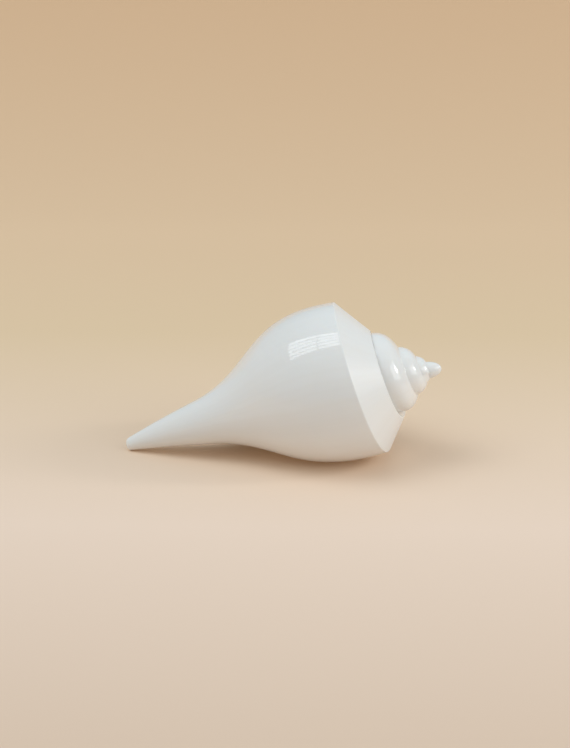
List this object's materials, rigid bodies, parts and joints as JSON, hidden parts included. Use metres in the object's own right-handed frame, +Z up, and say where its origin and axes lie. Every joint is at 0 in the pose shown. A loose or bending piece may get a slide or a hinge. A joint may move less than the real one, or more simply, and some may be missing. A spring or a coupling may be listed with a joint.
{
  "type": "conch shell",
  "caption": "Polished white sea shell with a coiled spire, a flat-ground shoulder, a long canal and a hollow mouth underneath, lying as it rests on a table.",
  "frame": {"origin": "middle of the footprint, at the height of the table the shell lies on", "axes": "+X towards the apex, along the coiling axis as seen from above, +Y towards the side of the outer lip, away from the viewer of the picture, +Z up"},
  "size_m": [0.147, 0.081, 0.0716],
  "materials": {
    "polished_shell": "polished"
  },
  "bodies": {
    "root": {"conch_shell": "polished_shell"}
  },
  "joints": []
}
